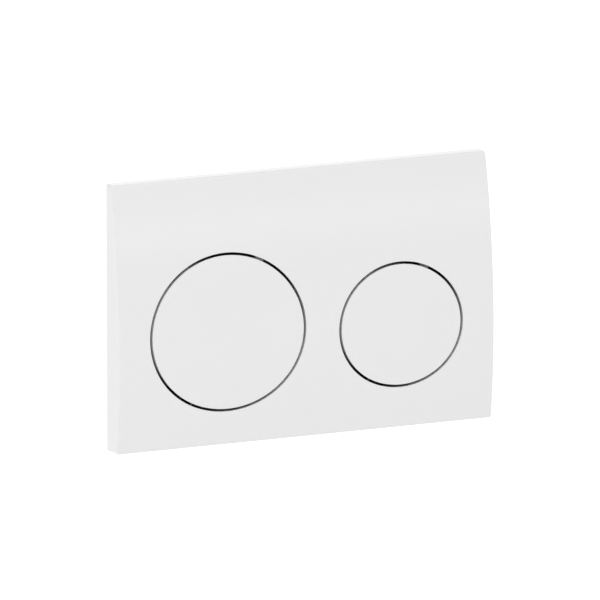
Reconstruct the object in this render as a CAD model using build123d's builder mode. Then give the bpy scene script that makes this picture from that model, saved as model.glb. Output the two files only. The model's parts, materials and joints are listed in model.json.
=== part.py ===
"""Flush button plate for a concealed cistern, with a large and a small round button.

Millimetres. +X is to the right and +Z up as the plate hangs on its wall, and the front faces -Y.
The wall is the plane Y = 0, and the origin is the middle of the plate's back on that plane.
A depth is a distance from the wall towards the room, so depth d lies at Y = -d.
"""
import os
from collections import namedtuple
from math import sqrt

from build123d import *

os.makedirs("parts", exist_ok=True)

# Cover plate
plate_width = 240.0
plate_height = 170.0
front_radius = 353.0  # the front is part of a cylinder that lies along X
crest_depth = 24.0  # depth of the front where it stands furthest from the wall
crest_z = -24.0
bottom_rise = 3.5  # the underside slopes up to the front by this much
cover_wall = 2.5
corner_radius = 1.5
edge_radius = 0.8
hole_chamfer = 0.35
collar_wall = 1.6
collar_depth = 11.0  # depth of the back edge of the collars around the button holes
rib_wall = 1.6
rib_height = 5.0  # how far the ribs stand out behind the front wall, at its crest
top_rib_rise = 10.5  # from the large button's hinge up to the top rib

# Buttons
full_x = -plate_width * 50 / 240
full_z = -10.0
full_radius = 48.2
full_arm_x = 24.0  # each button has two hinge arms, this far left and right of its middle
full_ear_x = 16.0  # and two stop ears, likewise
half_x = plate_width * 60.5 / 240
half_z = -15.5
half_radius = 38.1
half_arm_x = 19.0
half_ear_x = 13.0
button_gap = 1.6  # all round, between a button and its hole
button_wall = 2.0
button_chamfer = 0.4
skirt_overlap = 1.5  # how far a button's skirt reaches behind the collar's edge
button_rib_height = 6.0
boss_tip_radius = 2.5
boss_taper = 12.0  # degrees

# Hinges and stops
pin_radius = 1.5
pin_running_gap = 0.05  # radial, in the arms
pin_seat_gap = 0.02  # radial, in the lugs and the clip
pin_head_radius = 2.8
pin_head_thickness = 1.5
pin_end = 2.5  # how far a pin stands out of its last lug
hinge_rise = 5.1  # from the outside of the collar up to the hinge axis
arm_width = 5.0
arm_gap = 0.8  # between an arm and the collar in front of it
arm_eye_radius = 3.2
root_rise = 3.0  # how far the roots of the arms and ears reach in front of the collar's edge
arm_root_length = 14.0
lug_width = 4.0
lug_side_gap = 0.5
lug_radius = 3.6
lug_nose = 1.8  # half the height of a lug's flat back end
lug_spread = 1.8  # how much wider a lug is at the front wall, above and below
clip_width = 7.0
clip_thickness = 0.8
ear_width = 7.0
ear_thickness = 2.2
ear_overhang = 0.5  # how far an ear reaches past its pad
ear_root_length = 6.0
pad_thickness = 1.2
pad_height = 5.0
pad_width = 6.0
pad_gap = 0.3

# Push rods with their heads, locks, tips and springs
rod_width = 6.0
rod_back = 53.0  # how far behind the wall plane a rod reaches
rod_seat_gap = 0.02
rod_guide_gap = 0.3
boss_gap = 0.3  # between a button's boss and the rod's head
head_depth = 9.7  # depth of the front of a rod's head
head_radius = 8.5
head_thickness = 2.5
head_cap = 1.4  # what is left of the head in front of the rod
sleeve_width = 10.5
sleeve_length = 5.0
lock_thickness = 1.4
lock_bite = 0.8  # depth of the notches in the rod's sides
lock_prong = 2.0
lock_gap = 0.05
lock_overhang = 1.5  # how far the lock's prongs stand out below the sleeve
lock_base = 2.0
tip_wall = 1.6
tip_length = 12.0
tip_socket = 7.0
tip_chamfer = 1.5
spring_thickness = 0.6
spring_prong = 2.4
spring_side_gap = 0.5  # between a prong and the head's sleeve
spring_bend = 2.0
spring_seat_gap = 0.1
spring_tail = 2.5  # how far the flat ends of the prongs reach above and below the rod's middle
spring_run = 12.5  # from the rod's middle down to where the spring leaves the panel
spring_foot = 7.5

# Mounting frame
frame_side_gap = 6.0  # from the frame to the outside of the plate, left and right
frame_top_gap = 11.0
frame_bottom_gap = 7.7
frame_corner = 6.0
flange_thickness = 3.0
side_bar = 16.0
top_bar = 14.0
bottom_bar = 10.3
window_corner = 5.0
lip_wall = 2.5
lip_length = 8.0

# Guard panel, which closes the frame's window and guides the rods
panel_gap = 0.3
panel_back = 4.0  # how far behind the wall plane the panel's front lies
panel_wall = 2.5
panel_rib = 3.0
panel_rib_wall = 1.6
panel_rib_margin = 25.0  # from the window's edges to the panel's level ribs
panel_rib_spacing = 65.0  # between its upright ribs
tongue_width = 10.0
tongue_length = 2.0
tongue_offset = 30.0  # above and below the middle of the panel
tongue_gap = 0.2
guide_wall = 2.2
guide_length = 17.0
tab_width = 2.0
tab_height = 5.0
tab_cover = 1.8  # how far a tab reaches over the edge of the spring's foot
tab_gap = 0.2

# Clips between cover and frame
hook_x = 60.0
hook_width = 12.0
hook_thickness = 1.8
hook_gap = 0.3
hook_end = 1.0  # how far a hook reaches below its catch
catch_drop = 11.5  # from the frame's top to the bottom of a catch
catch_height = 5.5
catch_bar = 2.0
catch_post = 2.5
finger_thickness = 1.9
finger_gap = 0.3
barb_length = 1.4
barb_height = 1.7
barb_lip = 1.2  # thickness of the frame's edge that a barb holds

# Fixings
stud_z = 0.0
stud_radius = 3.0  # behind the wall plane, where it screws into the cistern's housing
stud_neck_radius = 2.5  # in front of it, through the frame, washer and nut
stud_shoulder = 4.0  # how far behind the wall plane the neck ends
stud_hole_gap = 0.3
stud_seat_gap = 0.02
stud_front = 11.0
stud_back = 32.0
stud_chamfer = 0.8
washer_width = 13.0
washer_thickness = 1.2
hand_nut_width = 12.0
hand_nut_thickness = 5.0

# Values worked out from the sizes above
half_width = plate_width / 2
half_height = plate_height / 2
front_bottom_z = -half_height + bottom_rise
skirt_depth = collar_depth - skirt_overlap
arm_front_depth = collar_depth - arm_gap
root_depth = collar_depth + root_rise
hinge_depth = arm_front_depth - arm_eye_radius
ear_front_depth = collar_depth - pad_gap - pad_thickness
boss_depth = head_depth + boss_gap
head_back_depth = head_depth - head_thickness
sleeve_back_depth = head_back_depth - sleeve_length
lock_depth = sleeve_back_depth + (sleeve_length - lock_thickness) / 2
notch_x = rod_width / 2 - lock_bite
fork_x = sleeve_width / 2 + spring_side_gap
spring_half_width = fork_x + spring_prong
guide_width = rod_width + 2 * rod_guide_gap
frame_width = plate_width - 2 * frame_side_gap
frame_top = half_height - frame_top_gap
frame_bottom = -half_height + frame_bottom_gap
window_width = frame_width - 2 * side_bar
window_top = frame_top - top_bar
window_bottom = frame_bottom + bottom_bar
window_height = window_top - window_bottom
window_z = (window_top + window_bottom) / 2
tongue_heights = (window_z - tongue_offset, window_z + tongue_offset)
catch_bottom = frame_top - catch_drop
hook_bottom = catch_bottom - hook_end
catch_front_depth = flange_thickness + 2 * hook_gap + hook_thickness + catch_bar
finger_z = frame_bottom - finger_gap - finger_thickness / 2
stud_x = (frame_width - side_bar) / 2

Flush = namedtuple("Flush", "name x z radius arm_x ear_x hole_radius collar_radius hinge_z lug_x")


def flush(name, x, z, radius, arm_x, ear_x):
    """Gather the sizes of one button and of what goes with it."""
    hole_radius = radius + button_gap
    collar_radius = hole_radius + collar_wall
    hinge_z = z + collar_radius + hinge_rise
    lug_x = arm_x + arm_width / 2 + lug_side_gap + lug_width / 2
    return Flush(name, x, z, radius, arm_x, ear_x, hole_radius, collar_radius, hinge_z, lug_x)


full = flush("full", full_x, full_z, full_radius, full_arm_x, full_ear_x)
half = flush("half", half_x, half_z, half_radius, half_arm_x, half_ear_x)
flushes = (full, half)
top_rib_z = full.hinge_z + top_rib_rise
sides = (-1, 1)


def front_depth(z, inset=0.0):
    """Depth at a height of the convex front, or of a surface that lies an inset behind it."""
    return crest_depth - front_radius + sqrt((front_radius - inset) ** 2 - (z - crest_z) ** 2)


def chord(radius, offset):
    """Height of a circle's rim above its middle, at an offset to the side."""
    return sqrt(radius**2 - offset**2)


def side_section(inset=0.0):
    """The plate's outline seen from the side, or the same outline an inset further in."""
    top = half_height - inset
    bottom = front_bottom_z + inset
    front_top = (-front_depth(top, inset), top)
    front_bottom = (-front_depth(bottom, inset), bottom)
    with BuildSketch(Plane.YZ) as section:
        with BuildLine():
            Polyline(front_bottom, (0, -half_height + inset), (0, top), front_top)
            ThreePointArc(front_top, (inset - crest_depth, crest_z), front_bottom)
        make_face()
    return section.sketch


def at_depth(depth):
    """A plane parallel to the wall that faces the room, with X to the right and Z up."""
    return Plane.XZ.offset(depth)


def finish(built, name):
    """Label one finished piece and write it."""
    built.part.label = name
    export_step(built.part, f"parts/{name}.step")


# Stiffening inside the cover: ribs that follow the front wall
with BuildPart() as cover_ribs:
    middle_rib_x = (full.x + full.collar_radius + half.x - half.collar_radius) / 2
    with BuildSketch(Plane.XZ):
        with Locations((middle_rib_x, window_z)):
            Rectangle(rib_wall, window_height)
        with Locations((0, top_rib_z)):
            Rectangle(2 * (hook_x - hook_width), rib_wall)
    extrude(amount=crest_depth)
    extrude(side_section(cover_wall + rib_height), amount=half_width, both=True, mode=Mode.SUBTRACT)

# Inside of the cover: ribs, collars, hinge lugs, hooks and snap fingers, trimmed inside the walls
with BuildPart() as cover_inside:
    add(cover_ribs.part)
    for item in flushes:
        with BuildSketch(at_depth(collar_depth)):
            with Locations((item.x, item.z)):
                Circle(item.collar_radius)
        extrude(amount=crest_depth)
        for side in sides:
            with BuildSketch(Plane.YZ.offset(item.x + side * item.lug_x)):
                with BuildLine():
                    Polyline(
                        (-hinge_depth + lug_radius, item.hinge_z - lug_nose),
                        (-hinge_depth + lug_radius, item.hinge_z + lug_nose),
                        (-hinge_depth, item.hinge_z + lug_radius),
                        (-crest_depth, item.hinge_z + lug_radius + lug_spread),
                        (-crest_depth, item.hinge_z - lug_radius - lug_spread),
                        (-hinge_depth, item.hinge_z - lug_radius),
                        close=True,
                    )
                make_face()
            extrude(amount=lug_width / 2, both=True)
    for side in sides:
        with BuildSketch(at_depth(flange_thickness + hook_gap)):
            with Locations((side * hook_x, (half_height + hook_bottom) / 2)):
                Rectangle(hook_width, half_height - hook_bottom)
        extrude(amount=hook_thickness)
        with BuildSketch(at_depth(finger_gap)):
            with Locations((side * hook_x, finger_z)):
                Rectangle(hook_width, finger_thickness)
        extrude(amount=crest_depth)
        with BuildSketch(Plane.YZ.offset(side * hook_x)):
            with BuildLine():
                Polyline(
                    (-finger_gap, finger_z),
                    (-finger_gap, finger_z + finger_thickness / 2),
                    (-finger_gap - barb_length, finger_z + finger_thickness / 2 + barb_height),
                    (-finger_gap - barb_length, finger_z),
                    close=True,
                )
            make_face()
        extrude(amount=hook_width / 2, both=True)
    extrude(side_section(cover_wall / 2), amount=half_width, both=True, mode=Mode.INTERSECT)

with BuildPart() as cover_plate:
    extrude(side_section(), amount=half_width, both=True)
    corners = cover_plate.edges().filter_by(GeomType.LINE).filter_by(Axis.X, reverse=True)
    fillet(corners.filter_by(Axis.Z, reverse=True), corner_radius)
    front = cover_plate.faces().filter_by(GeomType.CYLINDER).sort_by(SortBy.AREA)[-1]
    fillet(front.edges(), edge_radius)
    extrude(side_section(cover_wall), amount=half_width - cover_wall, both=True, mode=Mode.SUBTRACT)
    add(cover_inside.part)
    for item in flushes:
        with BuildSketch(Plane.XZ):
            with Locations((item.x, item.z)):
                Circle(item.hole_radius)
        extrude(amount=2 * crest_depth, mode=Mode.SUBTRACT)
        with BuildSketch(Plane.YZ.offset(item.x)):
            with Locations((-hinge_depth, item.hinge_z)):
                Circle(pin_radius + pin_seat_gap)
        extrude(amount=item.lug_x + lug_width, both=True, mode=Mode.SUBTRACT)
    front = cover_plate.faces().filter_by(GeomType.CYLINDER).sort_by(SortBy.AREA)[-1]
    chamfer([rim for wire in front.inner_wires() for rim in wire.edges()], hole_chamfer)
finish(cover_plate, "cover_plate")


def button_core(item, inset):
    """The space inside a button, an inset in from its outside."""
    with BuildPart() as core:
        with BuildSketch(Plane.XZ):
            with Locations((item.x, item.z)):
                Circle(item.radius - inset)
        extrude(amount=2 * crest_depth)
        extrude(side_section(inset), amount=half_width, both=True, mode=Mode.INTERSECT)
    return core.part


def button_inside(item):
    """Cross ribs and pressing boss behind a button's face, trimmed inside its walls."""
    with BuildPart() as inside:
        with BuildSketch(at_depth(skirt_depth)):
            with Locations((item.x, item.z)):
                Rectangle(2 * item.radius, rib_wall)
                Rectangle(rib_wall, 2 * item.radius)
        extrude(amount=crest_depth)
        inner = side_section(button_wall + button_rib_height)
        extrude(inner, amount=half_width, both=True, mode=Mode.SUBTRACT)
        with BuildSketch(at_depth(boss_depth)):
            with Locations((item.x, item.z)):
                Circle(boss_tip_radius)
        extrude(amount=crest_depth, taper=-boss_taper)
        add(button_core(item, button_wall / 2), mode=Mode.INTERSECT)
    return inside.part


def pad_top(item):
    """Height of the top of a stop pad, just below the button's skirt."""
    return item.z - chord(item.radius, item.ear_x - pad_width / 2) - pad_gap


def flush_button(item):
    """A button: curved face, skirt, ribs, boss, two hinge arms above and two stop ears below."""
    with BuildPart() as button:
        with BuildSketch(at_depth(skirt_depth)):
            with Locations((item.x, item.z)):
                Circle(item.radius)
        extrude(amount=crest_depth)
        extrude(side_section(), amount=half_width, both=True, mode=Mode.INTERSECT)
        face = button.faces().filter_by(GeomType.CYLINDER).sort_by(Axis.Y)[0]
        chamfer(face.edges(), button_chamfer)
        add(button_core(item, button_wall), mode=Mode.SUBTRACT)
        add(button_inside(item))
        step = item.z + chord(item.radius - button_wall / 2, item.arm_x + arm_width / 2)
        for side in sides:
            with BuildSketch(Plane.YZ.offset(item.x + side * item.arm_x)):
                with BuildLine():
                    Polyline(
                        (-root_depth, step - arm_root_length),
                        (-root_depth, step),
                        (-arm_front_depth, step),
                        (-arm_front_depth, item.hinge_z),
                        (-hinge_depth + arm_eye_radius, item.hinge_z),
                        (-hinge_depth, step - arm_root_length),
                        close=True,
                    )
                make_face()
                with Locations((-hinge_depth, item.hinge_z)):
                    Circle(arm_eye_radius)
                    Circle(pin_radius + pin_running_gap, mode=Mode.SUBTRACT)
            extrude(amount=arm_width / 2, both=True)
        step = item.z - chord(item.radius - button_wall / 2, item.ear_x + ear_width / 2)
        reach = pad_top(item) - pad_height - ear_overhang
        for side in sides:
            with BuildSketch(Plane.YZ.offset(item.x + side * item.ear_x)):
                with BuildLine():
                    Polyline(
                        (-root_depth, step + ear_root_length),
                        (-root_depth, step),
                        (-ear_front_depth, step),
                        (-ear_front_depth, reach),
                        (-ear_front_depth + ear_thickness, reach),
                        (-ear_front_depth + ear_thickness, step + ear_root_length),
                        close=True,
                    )
                make_face()
            extrude(amount=ear_width / 2, both=True)
    return button


def stop_pads(item):
    """The two soft pads on a button's ears, which meet the collar when the button springs back."""
    pad_z = pad_top(item) - pad_height / 2
    with BuildPart() as pads:
        with BuildSketch(at_depth(ear_front_depth)):
            with Locations((item.x - item.ear_x, pad_z), (item.x + item.ear_x, pad_z)):
                Rectangle(pad_width, pad_height)
        extrude(amount=pad_thickness)
    return pads


def hinge_pin(item):
    """A button's hinge pin, with its head outside the left lug."""
    outside = item.lug_x + lug_width / 2
    with BuildPart() as pin:
        with BuildSketch(Plane.YZ.offset(item.x - outside)):
            with Locations((-hinge_depth, item.hinge_z)):
                Circle(pin_radius)
        extrude(amount=2 * outside + pin_end)
        with BuildSketch(Plane.YZ.offset(item.x - outside)):
            with Locations((-hinge_depth, item.hinge_z)):
                Circle(pin_head_radius)
        extrude(amount=-pin_head_thickness)
    return pin


def pin_clip(item):
    """The push-on clip that keeps a hinge pin in its lugs."""
    with BuildPart() as clip:
        with BuildSketch(Plane.YZ.offset(item.x + item.lug_x + lug_width / 2)):
            with Locations((-hinge_depth, item.hinge_z)):
                Rectangle(clip_width, clip_width)
                Circle(pin_radius + pin_seat_gap, mode=Mode.SUBTRACT)
        extrude(amount=clip_thickness)
    return clip


def push_rod(item):
    """The square rod that carries a press to the cistern's lever, notched for its lock."""
    with BuildPart() as rod:
        with BuildSketch(at_depth(-rod_back)):
            with Locations((item.x, item.z)):
                Rectangle(rod_width, rod_width)
        extrude(amount=rod_back + head_depth - head_cap)
        with BuildSketch(at_depth(lock_depth - lock_gap)):
            for side in sides:
                with Locations((item.x + side * (notch_x + rod_width / 2), item.z)):
                    Rectangle(rod_width, rod_width)
        extrude(amount=lock_thickness + 2 * lock_gap, mode=Mode.SUBTRACT)
    return rod


def rod_head(item):
    """The round head that a button presses, with a square sleeve for the rod and slots for the lock."""
    with BuildPart() as head:
        with BuildSketch(at_depth(head_back_depth)):
            with Locations((item.x, item.z)):
                Circle(head_radius)
        extrude(amount=head_thickness)
        with BuildSketch(at_depth(sleeve_back_depth)):
            with Locations((item.x, item.z)):
                Rectangle(sleeve_width, sleeve_width)
        extrude(amount=sleeve_length)
        with BuildSketch(at_depth(sleeve_back_depth)):
            with Locations((item.x, item.z)):
                Rectangle(rod_width + 2 * rod_seat_gap, rod_width + 2 * rod_seat_gap)
        extrude(amount=head_depth - head_cap - sleeve_back_depth, mode=Mode.SUBTRACT)
        with BuildSketch(at_depth(lock_depth - lock_gap)):
            for side in sides:
                with Locations((item.x + side * (notch_x + lock_prong / 2), item.z)):
                    Rectangle(lock_prong + 2 * lock_gap, 2 * sleeve_width)
        extrude(amount=lock_thickness + 2 * lock_gap, mode=Mode.SUBTRACT)
    return head


def rod_lock(item):
    """The fork that slides through the head's slots into the rod's notches."""
    top = sleeve_width / 2 + lock_gap + lock_base
    bottom = -sleeve_width / 2 - lock_overhang
    with BuildPart() as lock:
        with BuildSketch(at_depth(lock_depth)):
            with Locations((item.x, item.z + (top + bottom) / 2)):
                Rectangle(2 * notch_x + 2 * lock_prong, top - bottom)
            with Locations((item.x, item.z + (top - lock_base + bottom) / 2)):
                Rectangle(2 * notch_x + 2 * lock_gap, top - lock_base - bottom, mode=Mode.SUBTRACT)
        extrude(amount=lock_thickness)
    return lock


def rod_tip(item):
    """The soft tip on a rod's far end."""
    mouth = at_depth(tip_socket - rod_back)
    with BuildPart() as tip:
        with BuildSketch(mouth):
            with Locations((item.x, item.z)):
                Rectangle(rod_width + 2 * tip_wall, rod_width + 2 * tip_wall)
        extrude(amount=-tip_length)
        chamfer(tip.faces().sort_by(Axis.Y)[-1].edges(), tip_chamfer)
        with BuildSketch(mouth):
            with Locations((item.x, item.z)):
                Rectangle(rod_width + 2 * rod_seat_gap, rod_width + 2 * rod_seat_gap)
        extrude(amount=-tip_socket, mode=Mode.SUBTRACT)
    return tip


def return_spring(item):
    """A bent strip of spring steel: its foot lies on the panel and its fork lifts the rod's head."""
    low = panel_back - spring_thickness / 2
    high = -head_back_depth + spring_seat_gap + spring_thickness / 2
    with BuildPart() as spring:
        with BuildSketch(Plane.YZ.offset(item.x)):
            with BuildLine() as bent:
                FilletPolyline(
                    (low, item.z - spring_run - spring_foot),
                    (low, item.z - spring_run),
                    (high, item.z - spring_tail),
                    (high, item.z + spring_tail),
                    radius=spring_bend,
                )
            trace(bent.line, spring_thickness)
        extrude(amount=spring_half_width, both=True)
        with BuildSketch(Plane.XZ.offset(-2 * panel_back)):
            with Locations((item.x, item.z - spring_run / 2 + spring_tail)):
                Rectangle(2 * fork_x, spring_run + 2 * spring_tail)
        extrude(amount=2 * crest_depth, mode=Mode.SUBTRACT)
    return spring


for item in flushes:
    finish(flush_button(item), f"{item.name}_flush_button")
    finish(stop_pads(item), f"{item.name}_stop_pads")
    finish(hinge_pin(item), f"{item.name}_hinge_pin")
    finish(pin_clip(item), f"{item.name}_pin_clip")
    finish(push_rod(item), f"{item.name}_push_rod")
    finish(rod_head(item), f"{item.name}_rod_head")
    finish(rod_lock(item), f"{item.name}_rod_lock")
    finish(rod_tip(item), f"{item.name}_rod_tip")
    finish(return_spring(item), f"{item.name}_return_spring")

# Mounting frame: flange on the wall and lip in the opening, with catches, stud holes and slots
with BuildPart() as mounting_frame:
    with BuildSketch(Plane.XZ):
        with Locations((0, (frame_top + frame_bottom) / 2)):
            RectangleRounded(frame_width, frame_top - frame_bottom, frame_corner)
        with Locations((0, window_z)):
            RectangleRounded(window_width, window_height, window_corner, mode=Mode.SUBTRACT)
    extrude(amount=flange_thickness)
    with BuildSketch(Plane.XZ):
        with Locations((0, window_z)):
            RectangleRounded(
                window_width + 2 * lip_wall, window_height + 2 * lip_wall, window_corner + lip_wall
            )
            RectangleRounded(window_width, window_height, window_corner, mode=Mode.SUBTRACT)
    extrude(amount=-lip_length)
    for side in sides:
        with BuildSketch(Plane.XZ):
            with Locations((side * stud_x, stud_z)):
                Circle(stud_neck_radius + stud_hole_gap)
        extrude(amount=flange_thickness, mode=Mode.SUBTRACT)
        with BuildSketch(Plane.YZ.offset(side * window_width / 2)):
            for tongue_z in tongue_heights:
                with Locations((panel_back + panel_wall / 2, tongue_z)):
                    Rectangle(panel_wall + 2 * tongue_gap, tongue_width + 2 * tongue_gap)
        extrude(amount=side * 2 * lip_wall, mode=Mode.SUBTRACT)
        with BuildSketch(at_depth(flange_thickness)):
            with Locations((side * hook_x, catch_bottom + catch_height / 2)):
                Rectangle(hook_width + 2 * hook_gap + 2 * catch_post, catch_height)
        extrude(amount=catch_front_depth - flange_thickness)
        with BuildSketch(at_depth(flange_thickness)):
            with Locations((side * hook_x, catch_bottom + catch_height / 2)):
                Rectangle(hook_width + 2 * hook_gap, 2 * catch_height)
        extrude(amount=hook_thickness + 2 * hook_gap, mode=Mode.SUBTRACT)
        with BuildSketch(Plane.XZ):
            with Locations((side * hook_x, frame_bottom)):
                Rectangle(hook_width + 2 * hook_gap, 2 * (barb_height + finger_gap))
        extrude(amount=flange_thickness - barb_lip, mode=Mode.SUBTRACT)
finish(mounting_frame, "mounting_frame")

# Guard panel: ribbed behind, with rod guides and spring tabs, and with tongues in the frame's slots
with BuildPart() as guard_panel:
    with BuildSketch(at_depth(-panel_back)):
        with Locations((0, window_z)):
            RectangleRounded(window_width - 2 * panel_gap, window_height - 2 * panel_gap, window_corner)
        for tongue_z in tongue_heights:
            with Locations((0, tongue_z)):
                Rectangle(window_width + 2 * tongue_length, tongue_width)
    extrude(amount=-panel_wall)
    with BuildSketch(at_depth(-panel_back)):
        for rib_z in (window_bottom + panel_rib_margin, window_top - panel_rib_margin):
            with Locations((0, rib_z)):
                Rectangle(window_width - 4 * window_corner, panel_rib_wall)
        for rib_x in (-panel_rib_spacing, 0, panel_rib_spacing):
            with Locations((rib_x, window_z)):
                Rectangle(panel_rib_wall, window_height - 4 * window_corner)
    extrude(amount=-panel_wall - panel_rib)
    for item in flushes:
        with BuildSketch(at_depth(-panel_back)):
            with Locations((item.x, item.z)):
                Rectangle(guide_width + 2 * guide_wall, guide_width + 2 * guide_wall)
        extrude(amount=-panel_wall - guide_length)
        with BuildSketch(at_depth(-panel_back)):
            with Locations((item.x, item.z)):
                Rectangle(guide_width, guide_width)
        extrude(amount=-panel_wall - guide_length, mode=Mode.SUBTRACT)
        tab_z = item.z - spring_run - spring_foot / 2
        for side in sides:
            post_x = item.x + side * (spring_half_width + tab_gap + tab_width / 2)
            with BuildSketch(at_depth(-panel_back)):
                with Locations((post_x, tab_z)):
                    Rectangle(tab_width, tab_height)
            extrude(amount=spring_thickness + tab_gap)
            with BuildSketch(at_depth(spring_thickness + tab_gap - panel_back)):
                with Locations((post_x - side * tab_cover / 2, tab_z)):
                    Rectangle(tab_width + tab_cover, tab_height)
            extrude(amount=tab_width)
finish(guard_panel, "guard_panel")


def fixing_stud(side):
    """A threaded stud, from the front of its hand nut to the cistern's housing behind the wall."""
    with BuildPart() as stud:
        with BuildSketch(at_depth(-stud_back)):
            with Locations((side * stud_x, stud_z)):
                Circle(stud_radius)
        extrude(amount=stud_back - stud_shoulder)
        chamfer(stud.edges().filter_by(GeomType.CIRCLE).sort_by(Axis.Y)[-1], stud_chamfer)
        with BuildSketch(at_depth(-stud_shoulder)):
            with Locations((side * stud_x, stud_z)):
                Circle(stud_neck_radius)
        extrude(amount=stud_shoulder + stud_front)
    return stud


def stud_washer(side):
    """The square washer between a hand nut and the frame."""
    with BuildPart() as washer:
        with BuildSketch(at_depth(flange_thickness)):
            with Locations((side * stud_x, stud_z)):
                Rectangle(washer_width, washer_width)
                Circle(stud_neck_radius + stud_hole_gap, mode=Mode.SUBTRACT)
        extrude(amount=washer_thickness)
    return washer


def hand_nut(side):
    """The eight-sided nut that clamps the frame by hand."""
    with BuildPart() as nut:
        with BuildSketch(at_depth(flange_thickness + washer_thickness)):
            with Locations((side * stud_x, stud_z)):
                RegularPolygon(hand_nut_width / 2, 8, major_radius=False)
                Circle(stud_neck_radius + stud_seat_gap, mode=Mode.SUBTRACT)
        extrude(amount=hand_nut_thickness)
    return nut


for side, hand in zip(sides, ("left", "right")):
    finish(fixing_stud(side), f"fixing_stud_{hand}")
    finish(stud_washer(side), f"stud_washer_{hand}")
    finish(hand_nut(side), f"hand_nut_{hand}")
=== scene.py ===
# %% [markdown]
# # A flush button plate for a concealed cistern
# The object is a white moulded cover with a gently convex front. A large and a small round button
# sit in it, each on a hinge pin, and behind them are the rods, springs, frame and studs that the
# wall hides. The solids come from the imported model, in metres, with +X to the right, +Z up and the
# front towards -Y. This lesson dresses those solids: it gives the shiny pieces finer surfaces, adds
# the details that are too fine for the solids, and paints everything with node materials.

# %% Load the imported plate
import json
import math

import bmesh
import bpy
from mathutils import Matrix, Vector
from mathutils.geometry import delaunay_2d_cdt

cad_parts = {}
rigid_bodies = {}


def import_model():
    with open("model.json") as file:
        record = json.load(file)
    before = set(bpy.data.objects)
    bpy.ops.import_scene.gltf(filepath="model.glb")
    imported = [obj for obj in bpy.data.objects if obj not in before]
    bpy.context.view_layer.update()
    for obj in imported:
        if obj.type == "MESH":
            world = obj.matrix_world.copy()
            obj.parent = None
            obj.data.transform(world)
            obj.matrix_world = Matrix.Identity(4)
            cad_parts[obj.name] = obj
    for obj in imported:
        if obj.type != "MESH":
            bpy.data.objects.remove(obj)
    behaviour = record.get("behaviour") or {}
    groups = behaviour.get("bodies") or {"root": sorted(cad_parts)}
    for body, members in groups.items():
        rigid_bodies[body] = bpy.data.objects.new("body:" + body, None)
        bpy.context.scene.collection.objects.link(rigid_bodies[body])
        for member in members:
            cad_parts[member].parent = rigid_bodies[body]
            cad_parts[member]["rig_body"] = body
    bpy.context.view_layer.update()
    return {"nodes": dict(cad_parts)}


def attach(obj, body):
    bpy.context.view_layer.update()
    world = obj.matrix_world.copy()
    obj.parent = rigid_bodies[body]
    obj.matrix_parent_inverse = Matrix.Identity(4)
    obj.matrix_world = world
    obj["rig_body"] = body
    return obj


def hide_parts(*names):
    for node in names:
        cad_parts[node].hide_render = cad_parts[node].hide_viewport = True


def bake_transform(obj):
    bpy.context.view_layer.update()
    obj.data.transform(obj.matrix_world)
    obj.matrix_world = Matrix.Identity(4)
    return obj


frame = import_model()
scene = bpy.context.scene
scene.view_settings.view_transform = "Standard"

# %% [markdown]
# ## Sizes
# The sizes are those of the solids, in millimetres. A depth is measured from the wall towards the
# room, so a point at depth d lies at Y = -d. One small function turns such a point into metres, and
# every mesh in this file goes through it, so each piece lies where its solid lies.

# %% Sizes of the cover and the two buttons
MM = 0.001
PLATE_WIDTH, PLATE_HEIGHT = 240.0, 170.0
HALF_WIDTH, HALF_HEIGHT = PLATE_WIDTH / 2, PLATE_HEIGHT / 2
FRONT_RADIUS, CREST_DEPTH, CREST_Z = 353.0, 24.0, -24.0
BOTTOM_RISE = 3.5
COVER_WALL, CORNER_RADIUS, EDGE_RADIUS, RIM_RADIUS = 2.5, 1.5, 0.8, 0.4
COLLAR_WALL, COLLAR_DEPTH, COLLAR_LEAN, COLLAR_LEAN_ANGLE = 1.6, 11.0, 2.4, 272.0
BUTTON_GAP, BUTTON_WALL, BUTTON_RIM = 1.6, 2.0, 0.45
SKIRT_DEPTH, SKIRT_LEAN, SKIRT_LEAN_ANGLE = 9.5, 2.8, 100.0
HINGE_RISE, HINGE_DEPTH, PIN_RADIUS = 5.1, 7.0, 1.5
BUTTONS = {
    "full": {"x": -50.0, "z": -10.0, "radius": 48.2, "arm_x": 24.0, "ear_x": 16.0},
    "half": {"x": 60.5, "z": -15.5, "radius": 38.1, "arm_x": 19.0, "ear_x": 13.0},
}
for button in BUTTONS.values():
    button["hole"] = button["radius"] + BUTTON_GAP
    button["collar"] = button["hole"] + COLLAR_WALL
    button["hinge_z"] = button["z"] + button["collar"] + HINGE_RISE


def place(x, depth, z):
    """A point of the object in metres, from millimetres and a depth in front of the wall."""
    return Vector((x, -depth, z)) * MM


def front_depth(z, inset=0.0):
    """Depth of the convex front at a height, or of a surface that lies an inset behind it."""
    return CREST_DEPTH - FRONT_RADIUS + math.sqrt((FRONT_RADIUS - inset) ** 2 - (z - CREST_Z) ** 2)


FRONT_BOTTOM = -HALF_HEIGHT + BOTTOM_RISE
for label, z in (("top", HALF_HEIGHT), ("crest", CREST_Z), ("bottom", FRONT_BOTTOM)):
    print("depth at the", label, round(front_depth(z), 2), "mm")

# %% [markdown]
# ## Camera
# The photograph is taken from far away with a long lens, from a little left of the plate and a
# little above it. The camera stands ten metres off, and its focal length is worked out so that one
# millimetre on the plate covers the same number of pixels as in the photograph. It aims at a point
# just beside the plate's middle, so no lens shift is needed.

# %% Camera
AZIMUTH, ELEVATION = math.radians(-18.21), math.radians(17.38)
PIXELS_PER_MM, IMAGE_SIZE, SENSOR_WIDTH, CAMERA_DISTANCE = 1.6437, 600, 36.0, 10.0
AIM_RIGHT, AIM_UP = 0.00325, -0.00043


def new_object(name, data):
    """A linked object at the origin that holds a mesh, a lamp or a camera."""
    made = bpy.data.objects.new(name, data)
    scene.collection.objects.link(made)
    return made


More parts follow.
